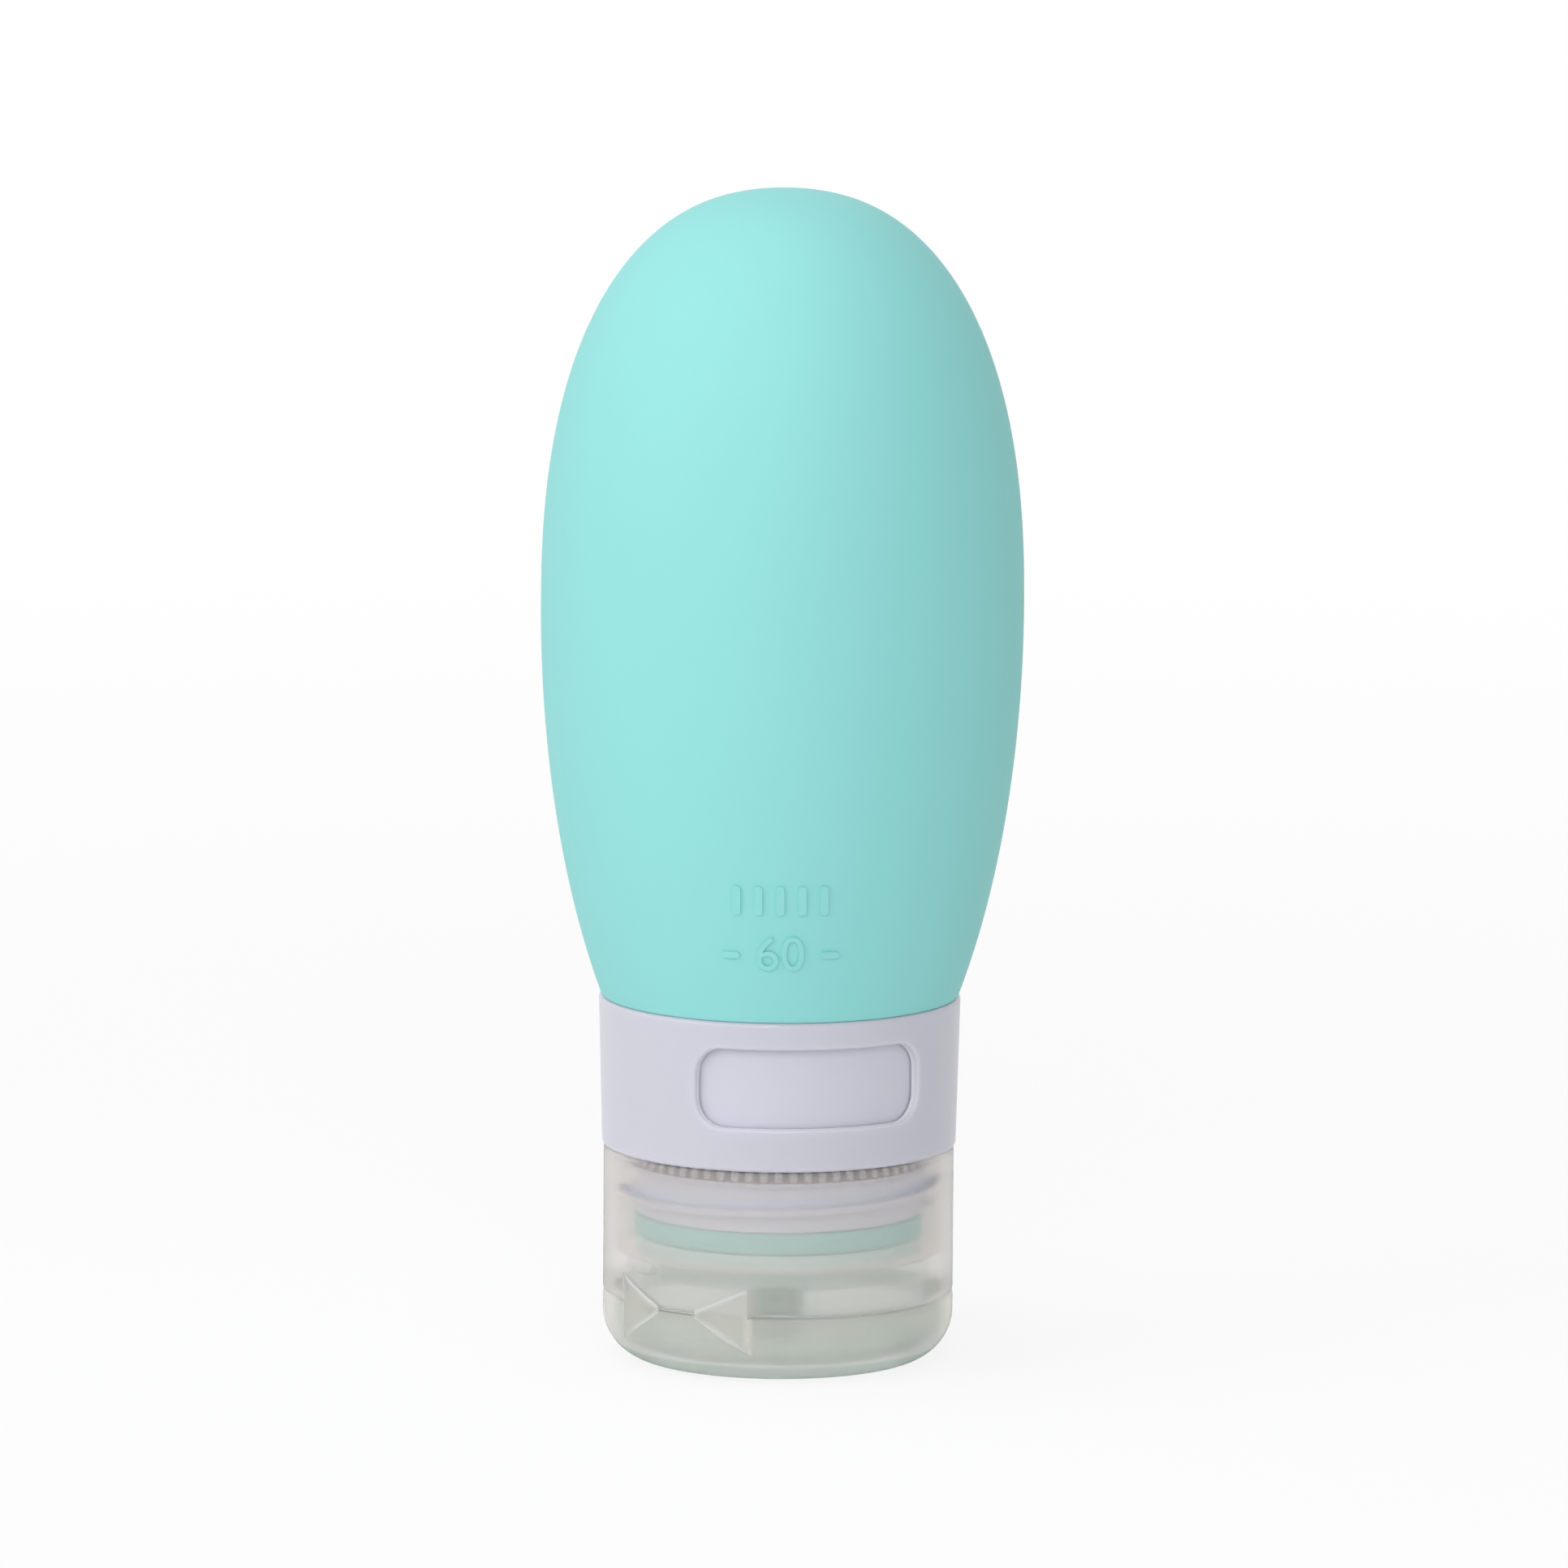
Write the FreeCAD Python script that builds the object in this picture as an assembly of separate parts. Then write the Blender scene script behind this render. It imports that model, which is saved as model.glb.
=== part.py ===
import FreeCAD, Part

import math
import os

from FreeCAD import Vector

# Travel squeeze bottle of silicone, standing mouth down on its flip lid.
# Z is the bottle's own axis and points up, away from the mouth.
# The origin is the centre of the flat face that the lid stands on.
# Lengths are in millimetres.

# Squeeze body, with its neck and the flange round its mouth
body_radius = 21.0
body_height = 70.6
body_wall = 2.0
crown_height = 36.3
crown_fullness_share = 0.4255
shoulder_inset = 0.2
shoulder_round = 0.25
shoulder_thickness = 2.2
neck_bore_radius = 9.2
neck_wall = 1.8
flange_thickness = 1.9
flange_proud = 0.1
flange_round = 0.4
curve_steps_count = 10

# Neck sleeve
sleeve_fit = 0.1
sleeve_wall = 1.3
ring_step_height = 0.4
ring_step_depth = 0.7
sleeve_round = 0.2

# Screw thread between the neck sleeve and the cap
thread_pitch = 1.8
thread_depth = 0.9
thread_base_width = 1.0
thread_crest_width = 0.55
thread_clearance = 0.35
thread_run_out = 0.1
thread_root_sink = 0.3

# Window collar
collar_height = 13.2
collar_gap = 0.15
collar_step = 0.15
collar_flare = 0.35
collar_wall = 0.6
collar_web = 1.0
collar_round = 0.4
window_width = 21.6
window_height = 7.0
window_top_margin = 2.4
window_corner_round = 2.5
window_edge_round = 0.3
window_angle_deg = 281.4

# Label ring behind the window, turned by its knurled lower rim
ring_gap = 0.12
ring_end_gap = 0.15
ring_round = 0.2
knurl_drop = 1.2
knurl_overlap = 0.3
knurl_clearance = 0.3
knurl_depth = 0.5
knurl_teeth_count = 64

# Screw cap
cap_height = 12.65
cap_wall = 1.6
cap_round = 0.3
cap_rim_depth = 1.9
deck_thickness = 1.6
locator_wall = 0.8
locator_height = 0.9
orifice_radius = 2.4
nozzle_wall = 1.1
nozzle_length = 3.6
nozzle_round = 0.4
lip_clearance = 0.35
lip_wall = 1.0
lip_reach = 1.4
lip_round = 0.3
scoop_radius = 9.0
scoop_depth = 0.8
scoop_rise = 1.6

# Flip lid
lid_height = 5.9
lid_wall = 1.3
lid_edge_round = 4.4
lid_rim_round = 0.25
part_gap = 0.2
plug_clearance = 0.25
plug_wall = 0.8
plug_reach = 1.5
plug_round = 0.35

# Drip valve
seat_gap = 0.05
valve_fit = 0.2
valve_inset = 0.2
valve_rim_height = 1.4
valve_rim_width = 2.8
valve_web = 0.8
valve_dish_radius = 4.2
valve_dish_rise = 1.0
valve_slit_length = 4.4
valve_slit_width = 0.15
valve_round = 0.3

# Butterfly hinge between the cap and the lid
hinge_angle_deg = 234.0
film_width = 4.6
film_thickness = 0.4
web_span = 12.6
web_rise = 2.2
web_drop = 2.9
web_thickness = 0.45
web_inset = 0.1
web_gap = 0.15
web_pocket_depth = 0.8

# One overrun serves every cut that passes through a face
overrun = 1.0

# A corner's rounding takes up at most this share of the edges beside it
rounding_room_share = 0.8

# Radii, worked outwards from the neck's bore
neck_radius = neck_bore_radius + neck_wall
sleeve_bore_radius = neck_radius + sleeve_fit
sleeve_core_radius = sleeve_bore_radius + sleeve_wall
sleeve_crest_radius = sleeve_core_radius + thread_depth
flange_radius = sleeve_core_radius + flange_proud
cap_bore_radius = sleeve_crest_radius + thread_clearance
cap_crest_radius = cap_bore_radius - thread_depth
cap_radius = cap_bore_radius + cap_wall
collar_low_radius = cap_radius + collar_step
collar_top_radius = collar_low_radius + collar_flare
shoulder_radius = collar_top_radius - shoulder_inset
collar_bore_radius = collar_low_radius - collar_wall
ring_bore_radius = sleeve_core_radius + ring_gap
ring_radius = collar_bore_radius - ring_gap
knurl_radius = cap_bore_radius - knurl_clearance
valve_radius = flange_radius - valve_inset
locator_bore_radius = valve_radius + valve_fit
nozzle_radius = orifice_radius + nozzle_wall
lid_bore_radius = cap_radius - lid_wall
lip_radius = lid_bore_radius - lip_clearance
plug_radius = orifice_radius - plug_clearance

# Levels, worked upwards from the lid's resting face
cap_low_z = lid_height + part_gap
deck_low_z = cap_low_z + cap_rim_depth
deck_top_z = deck_low_z + deck_thickness
valve_low_z = deck_top_z + seat_gap
valve_top_z = valve_low_z + valve_rim_height
flange_low_z = valve_top_z + seat_gap
flange_top_z = flange_low_z + flange_thickness
cap_top_z = cap_low_z + cap_height
collar_low_z = cap_top_z + collar_gap
collar_top_z = collar_low_z + collar_height
collar_web_z = collar_top_z - collar_web
crown_z = collar_top_z + body_height
widest_z = crown_z - crown_height
ring_low_z = collar_low_z - knurl_drop
ring_top_z = collar_web_z - ring_end_gap
knurl_top_z = collar_low_z + knurl_overlap
ring_step_top_z = ring_low_z - ring_end_gap
ring_step_low_z = ring_step_top_z - ring_step_height
nozzle_tip_z = deck_low_z - nozzle_length
lip_low_z = cap_low_z - lip_reach
plug_top_z = nozzle_tip_z + plug_reach
window_top_z = collar_top_z - window_top_margin
hinge_z = (lid_height + cap_low_z) / 2

# The sleeve's ridge starts at the flange. The cap's ridge lies half a pitch above it,
# where it hooks behind the sleeve's, and ends at the step that carries the label ring.
sleeve_thread_z = flange_top_z + thread_run_out + thread_base_width / 2
cap_thread_z = sleeve_thread_z + thread_pitch / 2
thread_rise = ring_step_low_z - thread_run_out - thread_base_width / 2 - cap_thread_z

axis_origin = Vector(0, 0, 0)
axis_up = Vector(0, 0, 1)


def direction(angle_deg):
    """Return the level unit vector at an angle from the X axis."""
    angle = math.radians(angle_deg)
    return Vector(math.cos(angle), math.sin(angle), 0)


hinge_out = direction(hinge_angle_deg)
hinge_along = axis_up.cross(hinge_out)


def on_profile(radius, level):
    """Return the point of the turning plane at a radius and a level."""
    return Vector(radius, 0, level)


def rounded_corner(before, corner, after, radius):
    """Return the start, middle and end of the arc that rounds a corner."""
    to_before = (before - corner).normalize()
    to_after = (after - corner).normalize()
    half_angle = to_before.getAngle(to_after) / 2
    room = min((before - corner).Length, (after - corner).Length) * rounding_room_share
    setback = min(radius / math.tan(half_angle), room)
    arc_radius = setback * math.tan(half_angle)
    inward = (to_before + to_after).normalize()
    middle = corner + inward * (arc_radius / math.sin(half_angle) - arc_radius)
    return corner + to_before * setback, middle, corner + to_after * setback


def rounded_wire(corners):
    """Return the closed wire through corners given as (radius, level, rounding)."""
    points = [on_profile(radius, level) for radius, level, rounding in corners]
    edges = []
    starts = []
    ends = []
    for index, (radius, level, rounding) in enumerate(corners):
        corner = points[index]
        after = points[(index + 1) % len(points)]
        start, end = corner, corner
        if rounding:
            start, middle, end = rounded_corner(points[index - 1], corner, after, rounding)
            edges.append(Part.Arc(start, middle, end).toShape())
        starts.append(start)
        ends.append(end)
    for index, end in enumerate(ends):
        edges.append(Part.makeLine(end, starts[(index + 1) % len(starts)]))
    return Part.Wire(Part.__sortEdges__(edges))


def turned(wire):
    """Return the solid that a closed wire sweeps round the bottle's axis."""
    return Part.Face(wire).revolve(axis_origin, axis_up, 360)


def ring_edge(shape, radius, level):
    """Return the edges of a turned shape that are circles of a radius at a level."""
    real_edges = [edge for edge in shape.Edges if not edge.Degenerated]
    circles = [edge for edge in real_edges if isinstance(edge.Curve, Part.Circle)]
    level_circles = [edge for edge in circles if math.isclose(edge.Curve.Center.z, level)]
    return [edge for edge in level_circles if math.isclose(edge.Curve.Radius, radius)]


def crown_curve(radius, height):
    """Return the full crown above the widest ring, a superellipse from side to tip."""
    power = 2 * crown_fullness_share
    points = []
    for step in range(curve_steps_count):
        angle = math.pi / 2 * step / curve_steps_count
        side = radius * math.cos(angle) ** power
        rise = height * math.sin(angle) ** power
        points.append(on_profile(side, widest_z + rise))
    points.append(on_profile(0, widest_z + height))
    curve = Part.BSplineCurve()
    curve.interpolate(Points=points, InitialTangent=axis_up, FinalTangent=Vector(-1, 0, 0))
    return curve.toShape()


def taper_curve(radius, end_radius, end_z):
    """Return the elliptic taper below the widest ring, from the side to a smaller radius."""
    end_angle = math.acos(end_radius / radius)
    depth = (widest_z - end_z) / math.sin(end_angle)
    points = []
    for step in range(curve_steps_count + 1):
        angle = end_angle * step / curve_steps_count
        points.append(on_profile(radius * math.cos(angle), widest_z - depth * math.sin(angle)))
    end_slope = Vector(-radius * math.sin(end_angle), 0, -depth * math.cos(end_angle))
    curve = Part.BSplineCurve()
    curve.interpolate(Points=points, InitialTangent=Vector(0, 0, -1), FinalTangent=end_slope)
    return curve.toShape()


def closed_profile(curves, points):
    """Return the wire of joined curves that a run of straight lines closes."""
    lines = [Part.makeLine(start, end) for start, end in zip(points, points[1:])]
    return Part.Wire(Part.__sortEdges__(curves + lines))


def bottle_body():
    """Return the silicone body: egg, neck and mouth flange in one moulding."""
    outer_curves = [
        crown_curve(body_radius, crown_height),
        taper_curve(body_radius, shoulder_radius, collar_top_z),
    ]
    outer_points = [
        on_profile(shoulder_radius, collar_top_z),
        on_profile(neck_radius, collar_top_z),
        on_profile(neck_radius, flange_top_z),
        on_profile(flange_radius, flange_top_z),
        on_profile(flange_radius, flange_low_z),
        on_profile(0, flange_low_z),
        on_profile(0, crown_z),
    ]
    inner_radius = body_radius - body_wall
    inner_low_z = collar_top_z + shoulder_thickness
    inner_low_radius = shoulder_radius - body_wall
    inner_curves = [
        crown_curve(inner_radius, crown_height - body_wall),
        taper_curve(inner_radius, inner_low_radius, inner_low_z),
    ]
    inner_points = [
        on_profile(inner_low_radius, inner_low_z),
        on_profile(neck_bore_radius, inner_low_z),
        on_profile(neck_bore_radius, flange_low_z - overrun),
        on_profile(0, flange_low_z - overrun),
        on_profile(0, crown_z - body_wall),
    ]
    outer = turned(closed_profile(outer_curves, outer_points))
    rim_edges = ring_edge(outer, shoulder_radius, collar_top_z)
    outer = outer.makeFillet(shoulder_round, rim_edges)
    flange_edges = ring_edge(outer, flange_radius, flange_low_z)
    outer = outer.makeFillet(flange_round, flange_edges)
    inner = turned(closed_profile(inner_curves, inner_points))
    brimful = inner.Volume - math.pi * neck_bore_radius**2 * overrun
    print(f"brimful volume with the neck: {brimful:.0f} mm3")
    return outer.cut(inner)


def thread_ridge(root_radius, crest_radius, start_z):
    """Return a right-hand helical ridge that is rooted in the wall it grows from."""
    outward = math.copysign(1, crest_radius - root_radius)
    flank = (thread_base_width - thread_crest_width) / 2 / thread_depth
    sunk_radius = root_radius - outward * thread_root_sink
    half_sunk = thread_base_width / 2 + flank * thread_root_sink
    half_crest = thread_crest_width / 2
    section = Part.makePolygon(
        [
            on_profile(sunk_radius, -half_sunk),
            on_profile(crest_radius, -half_crest),
            on_profile(crest_radius, half_crest),
            on_profile(sunk_radius, half_sunk),
            on_profile(sunk_radius, -half_sunk),
        ]
    )
    helix = Part.Wire(Part.makeHelix(thread_pitch, thread_rise, root_radius).Edges)
    ridge = helix.makePipeShell([section], True, True)
    ridge.translate(on_profile(0, start_z))
    return ridge


def neck_sleeve():
    """Return the sleeve on the neck: barrel, outside thread and the label ring's step."""
    step_radius = sleeve_core_radius + ring_step_depth
    barrel = turned(
        rounded_wire(
            [
                (sleeve_bore_radius, flange_top_z, 0),
                (sleeve_core_radius, flange_top_z, sleeve_round),
                (sleeve_core_radius, ring_step_low_z, 0),
                (step_radius, ring_step_low_z, sleeve_round),
                (step_radius, ring_step_top_z, 0),
                (sleeve_core_radius, ring_step_top_z, 0),
                (sleeve_core_radius, collar_web_z, 0),
                (sleeve_bore_radius, collar_web_z, 0),
            ]
        )
    )
    return barrel.fuse(thread_ridge(sleeve_core_radius, sleeve_crest_radius, sleeve_thread_z))


def window_cutter():
    """Return the cutter of the collar's window: walls point at the axis, corners are round."""
    low_radius = collar_bore_radius - overrun
    top_radius = collar_top_radius + overrun
    low_z = window_top_z - window_height
    section = Part.makePolygon(
        [
            on_profile(low_radius, low_z),
            on_profile(top_radius, low_z),
            on_profile(top_radius, window_top_z),
            on_profile(low_radius, window_top_z),
            on_profile(low_radius, low_z),
        ]
    )
    span_deg = math.degrees(window_width / collar_top_radius)
    cutter = Part.Face(section).revolve(axis_origin, axis_up, span_deg)
    lines = [edge for edge in cutter.Edges if isinstance(edge.Curve, Part.Line)]
    corners = [edge for edge in lines if edge.BoundBox.ZLength < edge.Length / 2]
    cutter = cutter.makeFillet(window_corner_round, corners)
    cutter.rotate(axis_origin, axis_up, window_angle_deg - span_deg / 2)
    return cutter


def window_collar():
    """Return the flared collar with its top web and its window."""
    shell = turned(
        rounded_wire(
            [
                (collar_low_radius, collar_low_z, collar_round),
                (collar_top_radius, collar_top_z, collar_round),
                (sleeve_bore_radius, collar_top_z, 0),
                (sleeve_bore_radius, collar_web_z, 0),
                (collar_bore_radius, collar_web_z, 0),
                (collar_bore_radius, collar_low_z, 0),
            ]
        )
    )
    collar = shell.cut(window_cutter())
    return soften_window(collar)


def soften_window(collar):
    """Return the collar with the window's outer edge rounded."""
    middle_radius = (collar_bore_radius + collar_low_radius) / 2
    low_z = window_top_z - window_height
    outline = []
    for edge in collar.Edges:
        centre = edge.valueAt((edge.FirstParameter + edge.LastParameter) / 2)
        beyond = math.hypot(centre.x, centre.y) > middle_radius
        level = low_z - overrun < edge.BoundBox.ZMin and edge.BoundBox.ZMax < window_top_z + overrun
        ends = [vertex.Point for vertex in edge.Vertexes]
        on_skin = all(math.hypot(point.x, point.y) > middle_radius for point in ends)
        if beyond and level and on_skin:
            outline.append(edge)
    return collar.makeFillet(window_edge_round, outline)


def knurled_ring(low_z, top_z):
    """Return the toothed ring of the label ring's lower rim."""
    points = []
    for step in range(2 * knurl_teeth_count):
        radius = knurl_radius - knurl_depth * (step % 2)
        points.append(direction(360 * step / (2 * knurl_teeth_count)) * radius)
    points.append(points[0])
    teeth = Part.Face(Part.makePolygon(points)).extrude(axis_up * (top_z - low_z))
    teeth.translate(on_profile(0, low_z))
    bore = Part.makeCylinder(ring_bore_radius, top_z - low_z, on_profile(0, low_z))
    return teeth.cut(bore)


def label_ring():
    """Return the ring behind the window, with its knurled lower rim."""
    band = turned(
        rounded_wire(
            [
                (ring_bore_radius, knurl_top_z, 0),
                (ring_radius, knurl_top_z, ring_round),
                (ring_radius, ring_top_z, ring_round),
                (ring_bore_radius, ring_top_z, 0),
            ]
        )
    )
    return band.fuse(knurled_ring(ring_low_z, knurl_top_z)).removeSplitter()


def drip_valve():
    """Return the silicone disc: thick sealing rim, thin web and slit dish."""
    rim_bore_radius = valve_radius - valve_rim_width
    web_top_z = valve_low_z + valve_web
    disc = turned(
        rounded_wire(
            [
                (0, valve_low_z, 0),
                (valve_radius, valve_low_z, valve_round),
                (valve_radius, valve_top_z, valve_round),
                (rim_bore_radius, valve_top_z, valve_round),
                (rim_bore_radius, web_top_z, 0),
                (0, web_top_z, 0),
            ]
        )
    )
    dome_radius = (valve_dish_radius**2 + valve_dish_rise**2) / (2 * valve_dish_rise)
    dome_drop = dome_radius - valve_dish_rise
    dome = Part.makeSphere(dome_radius, on_profile(0, web_top_z - dome_drop))
    hollow = Part.makeSphere(dome_radius, on_profile(0, valve_low_z - dome_drop))
    column = Part.makeCylinder(valve_dish_radius, valve_rim_height, on_profile(0, web_top_z))
    disc = disc.fuse(dome.common(column)).cut(hollow)
    slit_height = valve_web + valve_dish_rise + overrun
    for turn_deg in (0, 90):
        slit = Part.makeBox(valve_slit_length, valve_slit_width, slit_height)
        slit.translate(Vector(-valve_slit_length / 2, -valve_slit_width / 2, valve_low_z))
        slit.rotate(axis_origin, axis_up, turn_deg)
        disc = disc.cut(slit)
    return disc.removeSplitter()


def outer_form(inset):
    """Return the joint outside of lid and cap, drawn in by an inset."""
    return turned(
        rounded_wire(
            [
                (0, inset, 0),
                (cap_radius - inset, inset, max(lid_edge_round - inset, 0)),
                (cap_radius - inset, cap_top_z, 0),
                (0, cap_top_z, 0),
            ]
        )
    )


def hinge_point(along, out, level):
    """Return a point from its place along the hinge, out from the axis and up."""
    return hinge_out * out + hinge_along * along + axis_up * level


def web_prism(side, margin):
    """Return the triangular prism that cuts one hinge web, grown by a margin."""
    inner = film_width / 2 - margin
    outer = web_span / 2 + margin
    outline = [
        (inner, hinge_z - margin),
        (inner, hinge_z + margin),
        (outer, hinge_z + web_rise + margin),
        (outer, hinge_z - web_drop - margin),
        (inner, hinge_z - margin),
    ]
    points = [hinge_point(side * along, 0, level) for along, level in outline]
    return Part.Face(Part.makePolygon(points)).extrude(hinge_out * (cap_radius + overrun))


def hinge_web(side):
    """Return one thin triangular web, set just under the outside of cap and lid."""
    skin = outer_form(web_inset).cut(outer_form(web_inset + web_thickness))
    return web_prism(side, film_thickness / 2).common(skin)


def hinge_pockets():
    """Return the pockets in cap and lid that the two webs fold in."""
    skin = outer_form(-overrun).cut(outer_form(web_pocket_depth))
    pockets = [web_prism(side, film_thickness / 2 + web_gap) for side in (-1, 1)]
    return skin.common(pockets[0].fuse(pockets[1]))


def hinge_film():
    """Return the strip that joins the rims of cap and lid at the hinge."""
    half = film_width / 2 - film_thickness / 2 - web_gap
    outer = cap_radius - web_inset - half**2 / (2 * cap_radius)
    inner = outer - film_thickness
    outline = [
        hinge_point(-half, inner, lid_height),
        hinge_point(half, inner, lid_height),
        hinge_point(half, outer, lid_height),
        hinge_point(-half, outer, lid_height),
        hinge_point(-half, inner, lid_height),
    ]
    return Part.Face(Part.makePolygon(outline)).extrude(axis_up * part_gap)


def thumb_scoop():
    """Return the ball that scoops a thumb hold out of the cap, opposite the hinge."""
    reach = cap_radius + scoop_radius - scoop_depth
    return Part.makeSphere(scoop_radius, hinge_point(0, -reach, cap_low_z + scoop_rise))


def cap_base():
    """Return the screw cap: skirt, deck, spout, lid lip and inside thread."""
    locator_radius = locator_bore_radius + locator_wall
    locator_top_z = deck_top_z + locator_height
    lip_bore_radius = lip_radius - lip_wall
    shell = turned(
        rounded_wire(
            [
                (cap_radius, cap_low_z, cap_round),
                (cap_radius, cap_top_z, cap_round),
                (cap_bore_radius, cap_top_z, cap_round),
                (cap_bore_radius, deck_top_z, 0),
                (locator_radius, deck_top_z, 0),
                (locator_radius, locator_top_z, 0),
                (locator_bore_radius, locator_top_z, 0),
                (locator_bore_radius, deck_top_z, 0),
                (orifice_radius, deck_top_z, 0),
                (orifice_radius, nozzle_tip_z, 0),
                (nozzle_radius, nozzle_tip_z, nozzle_round),
                (nozzle_radius, deck_low_z, nozzle_round),
                (lip_bore_radius, deck_low_z, 0),
                (lip_bore_radius, lip_low_z, 0),
                (lip_radius, lip_low_z, lip_round),
                (lip_radius, cap_low_z, 0),
            ]
        )
    )
    ridge = thread_ridge(cap_bore_radius, cap_crest_radius, cap_thread_z)
    return shell.fuse(ridge).cut(thumb_scoop()).cut(hinge_pockets())


def flip_lid():
    """Return the lid: rounded cup with the plug that seals the spout."""
    plug_bore_radius = plug_radius - plug_wall
    cup = turned(
        rounded_wire(
            [
                (0, 0, 0),
                (cap_radius, 0, lid_edge_round),
                (cap_radius, lid_height, lid_rim_round),
                (lid_bore_radius, lid_height, lid_rim_round),
                (lid_bore_radius, lid_wall, lid_edge_round - lid_wall),
                (plug_radius, lid_wall, plug_round),
                (plug_radius, plug_top_z, plug_round),
                (plug_bore_radius, plug_top_z, 0),
                (plug_bore_radius, lid_wall, 0),
                (0, lid_wall, 0),
            ]
        )
    )
    return cup.cut(hinge_pockets())


pieces = {
    "bottle_body": bottle_body(),
    "neck_sleeve": neck_sleeve(),
    "window_collar": window_collar(),
    "label_ring": label_ring(),
    "drip_valve": drip_valve(),
    "cap_base": cap_base(),
    "flip_lid": flip_lid(),
    "hinge_film": hinge_film(),
    "hinge_web_left": hinge_web(-1),
    "hinge_web_right": hinge_web(1),
}

os.makedirs("parts", exist_ok=True)
for name, shape in pieces.items():
    solids = len(shape.Solids)
    print(f"{name}: {solids} solid, valid {shape.isValid()}, {shape.Volume:.1f} mm3")
    shape.exportStep(f"parts/{name}.step")

print(f"thread turns: {thread_rise / thread_pitch:.2f}")
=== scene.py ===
import logging
import math
from dataclasses import dataclass
from enum import Enum
from typing import Any, Mapping, Sequence

import bmesh
import bpy
from mathutils import Matrix, Quaternion, Vector


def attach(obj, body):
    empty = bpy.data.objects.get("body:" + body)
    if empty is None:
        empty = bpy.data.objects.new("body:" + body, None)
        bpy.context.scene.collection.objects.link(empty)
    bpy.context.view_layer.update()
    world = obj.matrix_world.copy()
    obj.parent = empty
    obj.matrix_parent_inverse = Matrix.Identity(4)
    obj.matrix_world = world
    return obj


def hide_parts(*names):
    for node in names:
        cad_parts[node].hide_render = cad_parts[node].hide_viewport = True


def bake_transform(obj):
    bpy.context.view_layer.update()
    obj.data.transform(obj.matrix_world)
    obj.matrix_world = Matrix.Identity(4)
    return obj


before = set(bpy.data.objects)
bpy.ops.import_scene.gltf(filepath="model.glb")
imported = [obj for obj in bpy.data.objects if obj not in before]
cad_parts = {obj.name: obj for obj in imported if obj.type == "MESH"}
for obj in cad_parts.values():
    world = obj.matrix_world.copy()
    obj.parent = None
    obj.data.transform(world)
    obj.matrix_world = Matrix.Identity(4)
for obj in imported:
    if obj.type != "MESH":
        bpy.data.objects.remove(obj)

# Sizes are written in millimetres, and the scene is in metres.
MM = 0.001

Colour = tuple[float, float, float]
Place = tuple[float, float, float]

WHITE: Colour = (1.0, 1.0, 1.0)

# The two noises of a moulded surface: their detail, their shares in its tone, and a noise's mean.
CLOUD_DETAIL = 3.0
GRAIN_DETAIL = 2.0
CLOUD_SHARE = 0.8
GRAIN_SHARE = 0.2
NOISE_MEAN = 0.5

# Points of a mesh that are closer than this, in metres, become one.
WELD = 1e-6

# Edges of a turned piece that bend more than this stay sharp.
SHARP_DEG = 40.0

# How often the faces of a mark are halved before it is laid on a wall.
MARK_HALVINGS = 2

# The rounding of a tick's corners: its steps, and its share of the tick's width.
TICK_CORNER_STEPS = 4
TICK_CORNER_SHARE = 0.4

# A Mix node has sockets of the same names for each kind of data: these are its colours.
MIX_FIRST, MIX_SECOND, MIX_RESULT = 6, 7, 2

log = logging.getLogger("travel_bottle")


@dataclass(frozen=True)
class Socket:
    """An output of a node in a tree, on which Python sums add Math nodes."""

    tree: "Tree"
    source: bpy.types.NodeSocket

    def other(self, output: int | str) -> "Socket":
        """Return another output of the same node."""
        return Socket(self.tree, self.source.node.outputs[output])

    def maths(self, operation: str, *values: "Value") -> "Socket":
        """Return the result of a Math node on these values."""
        inputs = dict(enumerate(values))
        return self.tree.add("ShaderNodeMath", inputs, operation=operation)

    def __add__(self, value: "Value") -> "Socket":
        """Return the sum."""
        return self.maths("ADD", self, value)

    def __radd__(self, value: "Value") -> "Socket":
        """Return the sum, with the value first."""
        return self.maths("ADD", value, self)

    def __sub__(self, value: "Value") -> "Socket":
        """Return the difference."""
        return self.maths("SUBTRACT", self, value)

    def __rsub__(self, value: "Value") -> "Socket":
        """Return the difference, with the value first."""
        return self.maths("SUBTRACT", value, self)

    def __mul__(self, value: "Value") -> "Socket":
        """Return the product."""
        return self.maths("MULTIPLY", self, value)

    def __rmul__(self, value: "Value") -> "Socket":
        """Return the product, with the value first."""
        return self.maths("MULTIPLY", value, self)

    def __truediv__(self, value: "Value") -> "Socket":
        """Return the quotient."""
        return self.maths("DIVIDE", self, value)

    def __rtruediv__(self, value: "Value") -> "Socket":
        """Return the quotient, with the value first."""
        return self.maths("DIVIDE", value, self)

    def __pow__(self, value: "Value") -> "Socket":
        """Return the power."""
        return self.maths("POWER", self, value)

    def __rpow__(self, value: "Value") -> "Socket":
        """Return the power, with the value first."""
        return self.maths("POWER", value, self)


Value = Socket | float


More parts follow.
